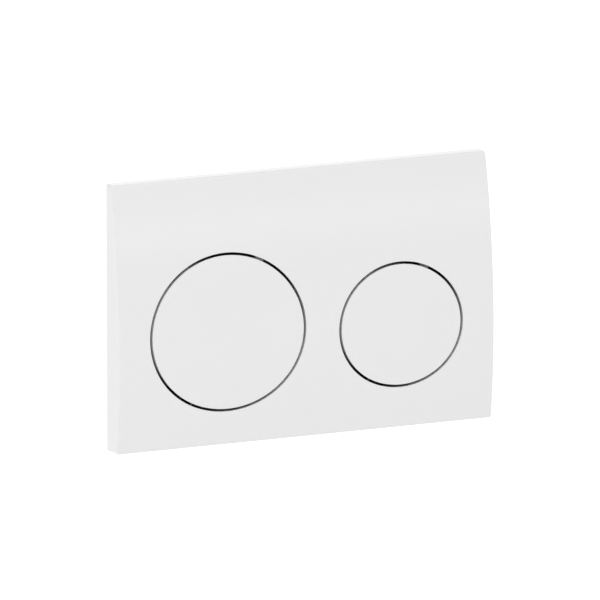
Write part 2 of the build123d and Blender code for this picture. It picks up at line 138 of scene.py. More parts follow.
towards = Vector(
    (
        math.sin(AZIMUTH) * math.cos(ELEVATION),
        -math.cos(AZIMUTH) * math.cos(ELEVATION),
        math.sin(ELEVATION),
    )
)
camera_turn = towards.to_track_quat("Z", "Y")
aim = camera_turn @ Vector((AIM_RIGHT, AIM_UP, 0.0))
camera_data = bpy.data.cameras.new("photo_camera")
camera_data.sensor_width = SENSOR_WIDTH
camera_data.lens = PIXELS_PER_MM / MM * SENSOR_WIDTH * CAMERA_DISTANCE / IMAGE_SIZE
camera = new_object("photo_camera", camera_data)
camera.location = aim + towards * CAMERA_DISTANCE
camera.rotation_euler = camera_turn.to_euler()
scene.camera = camera
print("lens:", round(camera_data.lens, 1), "mm")

# %% [markdown]
# ## Studio
# The photograph shows the plate alone on white. The world is white to the camera and to mirror-like
# reflections, and gives softer light to everything else. A pale floor lies well below the plate, as
# it would in a studio where the plate hangs in the air, and is clear when it is seen from below.
# Large lamps from the left, the front, above, the right and behind shade the white plastic so softly
# that its colour renders as it is written. A picture of a room could light the plate too, but each
# lamp can be set by itself until a wall has the tone that it has in the photograph.


# %% Helpers that add nodes to a tree
def feed(tree, node, inputs):
    """Set a node's inputs, by name or number: a socket is linked, and any other value is typed in."""
    for label, value in inputs.items():
        if isinstance(value, bpy.types.NodeSocket):
            tree.links.new(value, node.inputs[label])
        else:
            node.inputs[label].default_value = value


def add_node(tree, kind, inputs, **settings):
    """A new node with its own settings and inputs."""
    node = tree.nodes.new(kind)
    for label, value in settings.items():
        setattr(node, label, value)
    feed(tree, node, inputs)
    return node


def math_node(tree, operation, first, second):
    """The output of a math node over two sockets or numbers."""
    return add_node(tree, "ShaderNodeMath", {0: first, 1: second}, operation=operation).outputs[0]


def seen_rays(tree):
    """1 for what the camera sees directly, mirrored or through glass, and 0 for light on a surface."""
    rays = tree.nodes.new("ShaderNodeLightPath").outputs
    mirrored = math_node(tree, "MAXIMUM", rays["Is Camera Ray"], rays["Is Glossy Ray"])
    return math_node(tree, "MAXIMUM", mirrored, rays["Is Transmission Ray"])


print("node helpers ready")

# %% World
WHITE, WORLD_LIGHT = (1.0, 1.0, 1.0, 1.0), 0.75
world = bpy.data.worlds.new("studio_world")
scene.world = world
world.use_nodes = True
tree = world.node_tree
tree.nodes.clear()
limits = {"Value": seen_rays(tree), "To Min": WORLD_LIGHT, "To Max": 1.0}
strength = add_node(tree, "ShaderNodeMapRange", limits).outputs["Result"]
backdrop = add_node(tree, "ShaderNodeBackground", {"Color": WHITE, "Strength": strength})
add_node(tree, "ShaderNodeOutputWorld", {"Surface": backdrop.outputs["Background"]})
print("world light:", WORLD_LIGHT)

# %% Floor
FLOOR_Z, FLOOR_HALF, FLOOR_TONE, FLOOR_ROUGHNESS, FLOOR_LIFT = -0.45, 6.0, 0.96, 0.9, 0.25
floor_mesh = bpy.data.meshes.new("studio_floor")
sides = ((-1, -1), (1, -1), (1, 1), (-1, 1))
corners = [(FLOOR_HALF * x, FLOOR_HALF * y, FLOOR_Z) for x, y in sides]
floor_mesh.from_pydata(corners, [], [range(len(corners))])
studio_floor = new_object("studio_floor", floor_mesh)
floor_paint = bpy.data.materials.new("pale_floor")
floor_paint.use_nodes = True
tree = floor_paint.node_tree
floor_shader = tree.nodes["Principled BSDF"]
feed(
    tree,
    floor_shader,
    {
        "Base Color": (FLOOR_TONE, FLOOR_TONE, FLOOR_TONE, 1.0),
        "Roughness": FLOOR_ROUGHNESS,
        "Emission Color": WHITE,
        "Emission Strength": math_node(tree, "MULTIPLY", seen_rays(tree), FLOOR_LIFT),
    },
)
from_below = tree.nodes.new("ShaderNodeNewGeometry").outputs["Backfacing"]
solid, clear = floor_shader.outputs["BSDF"], tree.nodes.new("ShaderNodeBsdfTransparent").outputs["BSDF"]
one_sided = add_node(tree, "ShaderNodeMixShader", {"Fac": from_below, 1: solid, 2: clear})
feed(tree, tree.nodes["Material Output"], {"Surface": one_sided.outputs["Shader"]})
floor_mesh.materials.append(floor_paint)
print("floor at", FLOOR_Z, "m")

# %% Lamps
LAMPS = {
    "left_softbox": {"at": (-2.2, -1.0, 0.3), "size": (1.6, 1.6), "watts": 10.8},
    "front_strip": {"at": (0.86, -2.86, 0.44), "size": (3.2, 0.30), "watts": 2.4},
    "upper_softbox": {"at": (0.2, -1.6, 1.8), "size": (1.6, 0.8), "watts": 8.0},
    "back_softbox": {"at": (0.8, 2.4, 0.15), "size": (2.0, 2.0), "watts": 9.0},
    "right_softbox": {"at": (2.4, -0.1, 0.5), "size": (1.4, 1.4), "watts": 4.0},
}
for name, lamp in LAMPS.items():
    light = bpy.data.lights.new(name, "AREA")
    light.shape = "RECTANGLE"
    light.size, light.size_y = lamp["size"]
    light.energy = lamp["watts"]
    lamp_object = new_object(name, light)
    lamp_object.location = lamp["at"]
    lamp_object.rotation_euler = Vector(lamp["at"]).to_track_quat("Z", "Y").to_euler()
print("lamps:", sorted(LAMPS))

# %% [markdown]
# ## Finishes
# Real plastic and metal are never one flat colour. Three effects come back in several finishes, so
# each is a node group with named inputs: the faint waviness and tone of a moulded skin, the fine
# grain of an eroded mould, and the lines that drawing or brushing leaves in metal. Pictures could be
# painted for each piece, but a pattern that is worked out from object coordinates, which are metres
# here, fits any shape. Each group puts out a colour, a roughness and a height.

# %% Helpers for finish groups
GREY = (0.5, 0.5, 0.5, 1.0)
COMMON_INPUTS = {
    "Vector": ("Vector", (0.0, 0.0, 0.0)),
    "Dark": ("Color", GREY),
    "Light": ("Color", GREY),
    "Smooth": ("Float", 0.2),
    "Rough": ("Float", 0.3),
}
FINISH_OUTPUTS = {"Color": "Color", "Roughness": "Float", "Height": "Float"}


def finish_group(name, own_inputs):
    """An empty shader group with the sockets that every finish has and its own, and what it is given."""
    group = bpy.data.node_groups.new(name, "ShaderNodeTree")
    for label, (kind, value) in {**COMMON_INPUTS, **own_inputs}.items():
        socket = group.interface.new_socket(label, in_out="INPUT", socket_type=f"NodeSocket{kind}")
        socket.default_value = value
    for label, kind in FINISH_OUTPUTS.items():
        group.interface.new_socket(label, in_out="OUTPUT", socket_type=f"NodeSocket{kind}")
    return group, group.nodes.new("NodeGroupInput").outputs


def noise(group, coordinates, scale, detail):
    """A cloudy value between 0 and 1, whose scale is a number or a socket."""
    inputs = {"Vector": coordinates, "Scale": scale, "Detail": detail}
    return add_node(group, "ShaderNodeTexNoise", inputs).outputs["Fac"]


def close_group(group, given, tone_by, rough_by, height):
    """Mix a group's two colours by one value and its two roughnesses by another, and send all out."""
    colours = {"Factor": tone_by, "A": given["Dark"], "B": given["Light"]}
    tone = add_node(group, "ShaderNodeMix", colours, data_type="RGBA").outputs["Result"]
    limits = {"Value": rough_by, "To Min": given["Smooth"], "To Max": given["Rough"]}
    rough = add_node(group, "ShaderNodeMapRange", limits).outputs["Result"]
    add_node(group, "NodeGroupOutput", {"Color": tone, "Roughness": rough, "Height": height})
    return group


print("every finish has:", list(COMMON_INPUTS), "and gives:", list(FINISH_OUTPUTS))

# %% The three finish groups
own_inputs = {"Flow Scale": ("Float", 18.0), "Peel Scale": ("Float", 900.0)}
group, given = finish_group("moulded_skin", own_inputs)
flow = noise(group, given["Vector"], given["Flow Scale"], detail=2.0)
peel = noise(group, given["Vector"], given["Peel Scale"], detail=1.0)
moulded_skin = close_group(group, given, tone_by=flow, rough_by=flow, height=peel)

own_inputs = {"Grain Scale": ("Float", 1800.0)}
group, given = finish_group("eroded_grain", own_inputs)
cloud = noise(group, given["Vector"], scale=60.0, detail=4.0)
pits = {"Vector": given["Vector"], "Scale": given["Grain Scale"]}
cells = add_node(group, "ShaderNodeTexVoronoi", pits)
eroded_grain = close_group(group, given, tone_by=cloud, rough_by=cloud, height=cells.outputs["Distance"])

own_inputs = {"Stretch": ("Vector", (1.0, 1.0, 1.0)), "Line Scale": ("Float", 2500.0)}
group, given = finish_group("drawn_metal", own_inputs)
stretch = {0: given["Vector"], 1: given["Stretch"]}
pulled = add_node(group, "ShaderNodeVectorMath", stretch, operation="MULTIPLY")
lines = noise(group, pulled.outputs["Vector"], given["Line Scale"], detail=3.0)
tarnish = noise(group, given["Vector"], scale=120.0, detail=3.0)
drawn_metal = close_group(group, given, tone_by=tarnish, rough_by=lines, height=lines)
print("groups:", [made.name for made in (moulded_skin, eroded_grain, drawn_metal)])

# %% [markdown]
# Each finish is one material: a group with its own colours and scales, a bump node for its height,
# and a Principled shader. Numbers that are the same all over a surface, such as metallic or
# subsurface weight, are typed into the shader's own sockets, because an exported model keeps them
# only there.

# %% Helper that makes one finish
FINISHES = {}


def finish(name, group, dark, light, rough, bump, group_values=None, shader_values=None):
    """A material from a finish group. Bump is a strength and a height in millimetres."""
    material = bpy.data.materials.new(name)
    material.use_nodes = True
    tree = material.node_tree
    look = {
        "Vector": tree.nodes.new("ShaderNodeTexCoord").outputs["Object"],
        "Dark": (*dark, 1.0),
        "Light": (*light, 1.0),
        "Smooth": rough[0],
        "Rough": rough[1],
        **(group_values or {}),
    }
    effect = add_node(tree, "ShaderNodeGroup", look, node_tree=group).outputs
    raised = {"Strength": bump[0], "Distance": bump[1] * MM, "Height": effect["Height"]}
    relief = add_node(tree, "ShaderNodeBump", raised)
    surface = {
        "Base Color": effect["Color"],
        "Roughness": effect["Roughness"],
        "Normal": relief.outputs["Normal"],
        **(shader_values or {}),
    }
    feed(tree, tree.nodes["Principled BSDF"], surface)
    FINISHES[name] = material


print("finish helper ready")

# %% [markdown]
# The cover and the buttons come from polished moulds. They share one glossy white, whose tone and
# gloss drift very slightly in waves of a different size. The rods are of a softer plastic that lets a
# little light in. One flat colour would do from far away, but it looks like a drawing from close by.

# %% Moulded plastics
GLOSS = {
    "dark": (0.802, 0.802, 0.802),
    "light": (0.814, 0.814, 0.814),
    "rough": (0.16, 0.20),
    "bump": (0.05, 0.02),
}
finish("cover_gloss", moulded_skin, **GLOSS, group_values={"Flow Scale": 14.0})
finish("button_gloss", moulded_skin, **GLOSS, group_values={"Flow Scale": 22.0})
finish(
    "rod_plastic",
    moulded_skin,
    dark=(0.64, 0.64, 0.60),
    light=(0.70, 0.70, 0.66),
    rough=(0.36, 0.48),
    bump=(0.12, 0.03),
    group_values={"Flow Scale": 60.0, "Peel Scale": 1500.0},
    shader_values={"Subsurface Weight": 0.05, "Subsurface Radius": (MM, MM, MM)},
)
print("finishes so far:", sorted(FINISHES))

# %% [markdown]
# The frame, the panel, the nuts and the soft pads come from eroded moulds, which leave a dull, fine
# grain. A noise texture could give that grain, but it looks like dust. The cells of a Voronoi texture
# lie close together like the pits in such a mould. Rubber has the coarsest cells and the dullest skin.

# %% Grained plastics and rubber
finish(
    "frame_plastic",
    eroded_grain,
    dark=(0.29, 0.31, 0.34),
    light=(0.34, 0.36, 0.39),
    rough=(0.45, 0.62),
    bump=(0.25, 0.04),
)
# The guard panel's near-black tone is painted shade: the panel stands behind the button gaps, so the view
# into them ends on a dark surface and reads as deep shadow.
finish(
    "panel_plastic",
    eroded_grain,
    dark=(0.034, 0.036, 0.041),
    light=(0.044, 0.046, 0.052),
    rough=(0.48, 0.62),
    bump=(0.25, 0.04),
)
finish(
    "nut_plastic",
    eroded_grain,
    dark=(0.040, 0.043, 0.050),
    light=(0.060, 0.064, 0.072),
    rough=(0.42, 0.56),
    bump=(0.25, 0.03),
    group_values={"Grain Scale": 2600.0},
)
finish(
    "soft_rubber",
    eroded_grain,
    dark=(0.016, 0.016, 0.018),
    light=(0.026, 0.026, 0.028),
    rough=(0.68, 0.84),
    bump=(0.3, 0.05),
    group_values={"Grain Scale": 1400.0},
)
print("finishes so far:", sorted(FINISHES))

# %% [markdown]
# The springs are drawn strip, and the studs and washers are zinc-plated. Metal shows the way it was
# drawn as fine lines, so the noise is stretched along Y and Z for the bent strips, and along Y for the
# studs. An anisotropic shader could stretch the reflections too, but it needs a direction on each face.

# %% Steels
finish(
    "spring_steel",
    drawn_metal,
    dark=(0.50, 0.50, 0.51),
    light=(0.62, 0.62, 0.62),
    rough=(0.20, 0.36),
    bump=(0.10, 0.01),
    group_values={"Stretch": (1.0, 0.06, 0.06)},
    shader_values={"Metallic": 1.0},
)
finish(
    "zinc_steel",
    drawn_metal,
    dark=(0.40, 0.41, 0.41),
    light=(0.54, 0.55, 0.54),
    rough=(0.26, 0.44),
    bump=(0.12, 0.01),
    group_values={"Stretch": (1.0, 0.3, 1.0)},
    shader_values={"Metallic": 1.0},
)
print("finishes:", sorted(FINISHES))

# %% [markdown]
# ## Tools for meshes
# A few helpers do the work that every piece needs. One turns an object with modifiers into a plain
# mesh. One marks which edges stay sharp, so that rounded forms shade smoothly and corners stay crisp.
# One joins or cuts closed meshes with the boolean modifier, in the way that solids are joined.

# %% Helpers that finish a mesh
SHARP_ANGLE, FINE_SHARP_ANGLE = 35.0, 30.0


def from_bmesh(name, edit):
    """An object from an edited mesh, with its faces pointing outwards."""
    bmesh.ops.recalc_face_normals(edit, faces=edit.faces)
    mesh = bpy.data.meshes.new(name)
    edit.to_mesh(mesh)
    edit.free()
    return new_object(name, mesh)


def settle(made):
    """Turn an object's evaluated shape into its own plain mesh, and drop its modifiers."""
    bpy.context.view_layer.update()
    evaluated = made.evaluated_get(bpy.context.evaluated_depsgraph_get())
    plain = bpy.data.meshes.new_from_object(evaluated)
    made.modifiers.clear()
    made.data = plain
    plain.name = made.name
    return made


def combine(made, tools, operation):
    """Join closed meshes to a closed object, or cut them out of it."""
    for tool in tools:
        step = made.modifiers.new(operation.lower(), "BOOLEAN")
        step.operation = operation
        step.solver = "MANIFOLD"
        step.object = tool
    settle(made)
    for tool in tools:
        bpy.data.objects.remove(tool)


def coat(piece, slot, sharp=SHARP_ANGLE):
    """One material all over a piece, and smooth shading with sharp edges beyond an angle."""
    piece.data.materials.clear()
    piece.data.materials.append(FINISHES[slot])
    edit = bmesh.new()
    edit.from_mesh(piece.data)
    for face in edit.faces:
        face.smooth = True
        face.material_index = 0
    for edge in edit.edges:
        edge.smooth = len(edge.link_faces) == 2 and edge.calc_face_angle(0.0) < math.radians(sharp)
    edit.to_mesh(piece.data)
    edit.free()
    weighted = piece.modifiers.new("even_light", "WEIGHTED_NORMAL")
    weighted.keep_sharp = True
    weighted.weight = 90
    settle(piece)


def dress(piece, slot, body, node=None, sharp=SHARP_ANGLE):
    coat(piece, slot, sharp)
    if node:
        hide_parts(node)
    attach(piece, body)
    print(piece.name, len(piece.data.polygons), "faces")


print("edges stay sharp beyond", SHARP_ANGLE, "degrees")


# %% Helpers that draw simple forms
def circle(middle_u, middle_v, radius, count):
    """Outline points of a circle."""
    turns = [2 * math.pi * i / count for i in range(count)]
    return [(middle_u + radius * math.cos(t), middle_v + radius * math.sin(t)) for t in turns]


def add_band(edit, first, second):
    """Join two loops of vertices, point by point, with a band of faces."""
    for i in range(len(first)):
        j = (i + 1) % len(first)
        edit.faces.new((first[i], first[j], second[j], second[i]))
    return second


def prism(name, outline, x, width):
    """A closed form that runs along X with its middle at x, over an outline of depths and heights."""
    edit = bmesh.new()
    left, right = x - width / 2, x + width / 2
    ends = [[edit.verts.new(place(end, *point)) for point in outline] for end in (left, right)]
    edit.faces.new(ends[0])
    edit.faces.new(ends[1])
    add_band(edit, *ends)
    return from_bmesh(name, edit)


print("form helpers ready")

# %% [markdown]
# ## The cover
# The cover is one moulding: a curved front with two round holes, four side walls, and a collar that
# runs back from each hole. Reflections glide over such a front, so it needs many small, even faces.
# A bent box with holes cut through it would have long thin faces at its rims, and they would show as
# streaks. The front is therefore laid out flat, as a sheet of triangles that fits the outline and the
# rims exactly, and each point is then lifted to the curve. Loops of points carry on from the rims and
# the outline as roundings, walls and inner surfaces, so the whole cover is one closed skin.

# %% Helpers for a flat sheet of triangles with holes
RING_POINTS, SHEET_SPACING, SHEET_MARGIN = 180, 5.0, 0.6
INSIDE_OUTLINE, SAME_POINT = 1, 1e-7


def ring(x, z, radius):
    """Points of a round rim."""
    return circle(x, z, radius, RING_POINTS)


def sheet_points(outline, holes, spacing):
    """Staggered rows of points, clear of a plate's round holes or, without holes, of a disc's rim."""
    xs, zs = zip(*outline)
    margin = spacing * SHEET_MARGIN
    middle = Vector(((min(xs) + max(xs)) / 2, (min(zs) + max(zs)) / 2))
    points, row, z = [], 0, min(zs) + margin
    while z < max(zs) - margin:
        x = min(xs) + margin + (row % 2) * spacing / 2
        while x < max(xs) - margin:
            spot = Vector((x, z))
            if holes:
                clear = all((spot - Vector((u, v))).length > radius + margin for u, v, radius in holes)
            else:
                clear = (spot - middle).length < max(xs) - middle.x - margin
            if clear:
                points.append(spot)
            x += spacing
        z += spacing * math.sqrt(3) / 2
        row += 1
    return points


def sheet_layout(outline, holes, spacing):
    """Triangles over a plate with round holes, or over a disc: returns points, triangles and loops."""
    points, edges, loops = [], [], []
    for loop in [outline] + [ring(*hole) for hole in holes]:
        indices = list(range(len(points), len(points) + len(loop)))
        points += [Vector(point) for point in loop]
        edges += list(zip(indices, indices[1:] + indices[:1]))
        loops.append(indices)
    points += sheet_points(outline, holes, spacing)
    laid = delaunay_2d_cdt(points, edges, [], INSIDE_OUTLINE, SAME_POINT)
    spots, triangles, origins = laid[0], laid[2], laid[3]
    new_index = {old: new for new, olds in enumerate(origins) for old in olds}
    loops = [[new_index[i] for i in loop] for loop in loops]
    # A triangle with all its corners on one rim lies in that hole
    kept = [t for t in triangles if not any(set(t) <= set(rim) for rim in loops[1:])]
    return spots, kept, loops


def add_sheet(edit, layout, inset):
    """Put a flat layout on the convex front, or an inset behind it, and return its loops of vertices."""
    spots, triangles, loops = layout
    used = sorted({i for triangle in triangles for i in triangle})
    corners = {}
    for i in used:
        x, z = spots[i]
        corners[i] = edit.verts.new(place(x, front_depth(z, inset), z))
    for triangle in triangles:
        edit.faces.new([corners[i] for i in triangle])
    return [[corners[i] for i in loop] for loop in loops]


print("points of a round rim:", len(ring(0.0, 0.0, 1.0)))

# %% The cover's outline
CORNER_STEPS, INNER_CORNER, EDGE_POINTS_X, EDGE_POINTS_Z = 5, 0.3, 48, 34
BOTTOM_SLOPE, SLOPE_ROUNDS = BOTTOM_RISE / front_depth(FRONT_BOTTOM), 4


def plate_outline(depth_of, inset):
    """The plate's outline an inset inside its walls; the underside slopes up towards the front."""
    corner = max(CORNER_RADIUS - inset, INNER_CORNER)
    bottom = -HALF_HEIGHT + inset
    for _ in range(SLOPE_ROUNDS):
        bottom = -HALF_HEIGHT + inset + BOTTOM_SLOPE * depth_of(bottom)
    side, low, high = HALF_WIDTH - inset - corner, bottom + corner, HALF_HEIGHT - inset - corner
    arcs = []
    for quarter, (x, z) in enumerate(((side, high), (-side, high), (-side, low), (side, low))):
        turns = [math.pi / 2 * (quarter + i / CORNER_STEPS) for i in range(CORNER_STEPS + 1)]
        arcs.append([(x + corner * math.cos(t), z + corner * math.sin(t)) for t in turns])
    loop = []
    for quarter, arc in enumerate(arcs):
        (x, z), (next_x, next_z) = arc[-1], arcs[(quarter + 1) % len(arcs)][0]
        count = EDGE_POINTS_Z if quarter % 2 else EDGE_POINTS_X
        shares = [i / count for i in range(1, count)]
        loop += arc + [(x + (next_x - x) * share, z + (next_z - z) * share) for share in shares]
    return loop


print("outline points:", len(plate_outline(front_depth, EDGE_RADIUS)))

# %% Helpers that carry a skin on from its edge
EDGE_STEPS, RIM_STEPS, BACK_CHAMFER = 5, 4, 0.2


def rounding(radius, steps):
    """How far a rounded edge has moved out and back at each step from the front to the side."""
    turns = [math.pi / 2 * i / steps for i in range(1, steps + 1)]
    return [(radius * math.sin(t), radius * (1 - math.cos(t))) for t in turns]


def behind_front(distance):
    """The depth at each height of a loop that lies a distance behind the front."""
    return lambda z: front_depth(z) - distance


def flat_at(depth):
    """The one depth of a loop that lies in a plane along the wall."""
    return lambda z: depth


def add_loop(edit, loop, depth_of):
    """Vertices over a flat loop, at the depth that depth_of gives for each height."""
    return [edit.verts.new(place(x, depth_of(z), z)) for x, z in loop]


def carry_on(edit, edge, loop, depth_of):
    """Carry a skin on from its edge to a flat loop, and return the new edge."""
    return add_band(edit, edge, add_loop(edit, loop, depth_of))


def leaning_ring(button, radius, lean, middle):
    """Points of a rim that leans out by up to lean around one angle, and not at all on its far half."""
    loop = []
    for x, z in ring(0.0, 0.0, radius):
        share = max(math.cos(math.atan2(z, x) - math.radians(middle)), 0.0) ** 2
        size = 1 + lean * share / radius
        loop.append((button["x"] + x * size, button["z"] + z * size))
    return loop


print("loops in the cover's rounded edge:", len(rounding(EDGE_RADIUS, EDGE_STEPS)))

# %% [markdown]
# The walls of the two gaps aren't quite straight. A button swings in below its pin, so each collar
# leans out there and leaves it room, and each skirt leans in above. Those are the two walls that are
# seen from above. As they lean away from that view, the gaps show as the dark lines of the photograph.


# %% The cover's closed skin
def hole_list(key, extra):
    """The two round holes of a sheet, each a little larger than the size that key names."""
    return [(button["x"], button["z"], button[key] + extra) for button in BUTTONS.values()]


edit = bmesh.new()
outline = plate_outline(front_depth, EDGE_RADIUS)
layout = sheet_layout(outline, hole_list("hole", RIM_RADIUS), SHEET_SPACING)
front_loops = add_sheet(edit, layout, 0.0)
outline = plate_outline(lambda z: front_depth(z, COVER_WALL), COVER_WALL)
layout = sheet_layout(outline, hole_list("collar", 0.0), 2 * SHEET_SPACING)
inner_loops = add_sheet(edit, layout, COVER_WALL)

edge = front_loops[0]
for out_by, back_by in rounding(EDGE_RADIUS, EDGE_STEPS):
    loop = plate_outline(behind_front(back_by), EDGE_RADIUS - out_by)
    edge = carry_on(edit, edge, loop, behind_front(back_by))
for depth, inset in ((BACK_CHAMFER, 0.0), (0.0, BACK_CHAMFER), (0.0, COVER_WALL)):
    edge = carry_on(edit, edge, plate_outline(flat_at(depth), inset), flat_at(depth))
add_band(edit, edge, inner_loops[0])

for number, button in enumerate(BUTTONS.values(), start=1):
    edge = front_loops[number]
    for in_by, back_by in rounding(RIM_RADIUS, RIM_STEPS):
        loop = ring(button["x"], button["z"], button["hole"] + RIM_RADIUS - in_by)
        edge = carry_on(edit, edge, loop, behind_front(back_by))
    for radius in (button["hole"], button["collar"]):
        loop = leaning_ring(button, radius, COLLAR_LEAN, COLLAR_LEAN_ANGLE)
        edge = carry_on(edit, edge, loop, flat_at(COLLAR_DEPTH))
    add_band(edit, edge, inner_loops[number])
print("cover open edges:", sum(not side.is_manifold for side in edit.edges))
cover_shell = from_bmesh("cover_shell", edit)

# %% [markdown]
# Behind its front the cover carries two hinge lugs for each button, two hooks above and two snap
# fingers below that hold it to the frame, and thin ribs that keep the front stiff. They could be
# part of the skin, but every corner of theirs would then need its own place in the sheet. As plain
# prisms they are joined to the skin like solids, and the pin holes are then cut through the lugs.

# %% Hinge lugs and pin holes
LUG_WIDTH, LUG_RADIUS, LUG_NOSE, LUG_SPREAD, LUG_SIDE_GAP, ARM_WIDTH = 4.0, 3.6, 1.8, 1.8, 0.5, 5.0
LUG_BORE_GAP, BORE_POINTS = 0.02, 32
IN_WALL = COVER_WALL / 2
carried, pin_holes = [], []
for key, button in BUTTONS.items():
    lug_x = button["arm_x"] + ARM_WIDTH / 2 + LUG_SIDE_GAP + LUG_WIDTH / 2
    z = button["hinge_z"]
    top, low = z + LUG_RADIUS + LUG_SPREAD, z - LUG_RADIUS - LUG_SPREAD
    lug = [
        (HINGE_DEPTH - LUG_RADIUS, z - LUG_NOSE),
        (HINGE_DEPTH - LUG_RADIUS, z + LUG_NOSE),
        (HINGE_DEPTH, z + LUG_RADIUS),
        (front_depth(top, IN_WALL), top),
        (front_depth(low, IN_WALL), low),
        (HINGE_DEPTH, z - LUG_RADIUS),
    ]
    for side in (-1, 1):
        carried.append(prism(f"{key}_lug", lug, button["x"] + side * lug_x, LUG_WIDTH))
    bore = circle(HINGE_DEPTH, z, PIN_RADIUS + LUG_BORE_GAP, BORE_POINTS)
    pin_holes.append(prism(f"{key}_pin_hole", bore, button["x"], 2 * (lug_x + LUG_WIDTH)))
print("lugs:", len(carried), "pin holes:", len(pin_holes))

# %% Hooks and snap fingers
HOOK_X, HOOK_WIDTH, HOOK_THICKNESS, HOOK_DEPTH, HOOK_BOTTOM = 60.0, 12.0, 1.8, 3.3, 61.5
FINGER_Z, FINGER_THICKNESS, FINGER_GAP, BARB_LENGTH, BARB_HEIGHT = -78.55, 1.9, 0.3, 1.4, 1.7
hook_front, hook_top = HOOK_DEPTH + HOOK_THICKNESS, HALF_HEIGHT - IN_WALL
hook = [
    (HOOK_DEPTH, HOOK_BOTTOM),
    (hook_front, HOOK_BOTTOM),
    (hook_front, hook_top),
    (HOOK_DEPTH, hook_top),
]
near, far = FINGER_Z - FINGER_THICKNESS / 2, FINGER_Z + FINGER_THICKNESS / 2
barb = FINGER_GAP + BARB_LENGTH
finger = [
    (FINGER_GAP, near),
    (front_depth(near, IN_WALL), near),
    (front_depth(far, IN_WALL), far),
    (barb, far),
    (barb, far + BARB_HEIGHT),
    (FINGER_GAP, far),
]
for side in (-1, 1):
    carried.append(prism("hook", hook, side * HOOK_X, HOOK_WIDTH))
    carried.append(prism("finger", finger, side * HOOK_X, HOOK_WIDTH))
print("forms behind the cover so far:", len(carried))

# %% Ribs, and the whole cover
RIB_WALL, RIB_HEIGHT, RIB_STEPS, MIDDLE_RIB_X, TOP_RIB_Z = 1.6, 5.0, 24, 10.3, 57.0
WINDOW_BOTTOM, WINDOW_TOP = -67.0, 60.0
RIB_BACK = COVER_WALL + RIB_HEIGHT


def front_band(heights, front_inset, back_inset):
    """Outline of a strip that follows the front, between two insets behind it."""
    front = [(front_depth(z, front_inset), z) for z in heights]
    return front + [(front_depth(z, back_inset), z) for z in reversed(heights)]


heights = [WINDOW_BOTTOM + (WINDOW_TOP - WINDOW_BOTTOM) * i / RIB_STEPS for i in range(RIB_STEPS + 1)]
carried.append(prism("middle_rib", front_band(heights, IN_WALL, RIB_BACK), MIDDLE_RIB_X, RIB_WALL))
heights = [TOP_RIB_Z - RIB_WALL / 2, TOP_RIB_Z + RIB_WALL / 2]
carried.append(prism("top_rib", front_band(heights, IN_WALL, RIB_BACK), 0.0, 2 * (HOOK_X - HOOK_WIDTH)))
combine(cover_shell, carried, "UNION")
combine(cover_shell, pin_holes, "DIFFERENCE")
dress(cover_shell, "cover_gloss", "plate", "cover_plate")

# %% [markdown]
# ## The two buttons
# A button is a shallow cup turned over: its face continues the curve of the cover, its rim is
# slightly rounded, and its skirt runs back into the hole. Behind the face are two crossed ribs and
# a boss that presses the rod. Two arms reach up to the hinge pin, and two ears reach below the cover's
# collar with soft pads, so the button can't fall out. A turned disc would have a point in the middle
# of its face where all triangles meet, so the face is laid out as a sheet, like the cover's front.


# %% One button's closed skin
def button_skin(name, button):
    """The face, rim, skirt and inner surfaces of a button as one closed mesh."""
    edit = bmesh.new()
    x, z, radius = button["x"], button["z"], button["radius"]
    face = sheet_layout(ring(x, z, radius - BUTTON_RIM), [], SHEET_SPACING)
    inner_face = sheet_layout(ring(x, z, radius - BUTTON_WALL), [], 2 * SHEET_SPACING)
    edge = add_sheet(edit, face, 0.0)[0]
    inner_edge = add_sheet(edit, inner_face, BUTTON_WALL)[0]
    for out_by, back_by in rounding(BUTTON_RIM, RIM_STEPS):
        edge = carry_on(edit, edge, ring(x, z, radius - BUTTON_RIM + out_by), behind_front(back_by))
    for rim in (radius, radius - BUTTON_WALL):
        loop = leaning_ring(button, rim, -SKIRT_LEAN, SKIRT_LEAN_ANGLE)
        edge = carry_on(edit, edge, loop, flat_at(SKIRT_DEPTH))
    add_band(edit, edge, inner_edge)
    print(name, "open edges:", sum(not side.is_manifold for side in edit.edges))
    return from_bmesh(name, edit)


print("triangles of a face:", SHEET_SPACING, "mm in front and", 2 * SHEET_SPACING, "mm behind")

# %% A button's boss and ribs
BOSS_DEPTH, BOSS_TIP, BOSS_TAPER, BOSS_POINTS = 10.0, 2.5, 12.0, 48
BOSS_ROUNDING = ((-0.8, 0.0), (-0.25, 0.25), (0.1, 0.8))
BUTTON_RIB_HEIGHT, BUTTON_RIB_STEPS = 6.0, 16
IN_FACE, BUTTON_RIB_BACK = BUTTON_WALL / 2, BUTTON_WALL + BUTTON_RIB_HEIGHT


def lean_at(depth, z):
    """How far the skirt has leaned in at a depth, where it leans most."""
    return SKIRT_LEAN * (front_depth(z) - depth) / (front_depth(z) - SKIRT_DEPTH)


def boss(button):
    """The tapered boss in the middle of a button, rounded at its tip."""
    edit = bmesh.new()
    root_depth = front_depth(button["z"], IN_FACE)
    rows = [(BOSS_TIP + out_by, BOSS_DEPTH + forward) for out_by, forward in BOSS_ROUNDING]
    rows.append((BOSS_TIP + math.tan(math.radians(BOSS_TAPER)) * (root_depth - BOSS_DEPTH), root_depth))
    loops = []
    for radius, depth in rows:
        loop = circle(button["x"], button["z"], radius, BOSS_POINTS)
        loops.append(add_loop(edit, loop, flat_at(depth)))
    for first, second in zip(loops, loops[1:]):
        add_band(edit, first, second)
    edit.faces.new(loops[0])
    edit.faces.new(loops[-1])
    return from_bmesh("boss", edit)


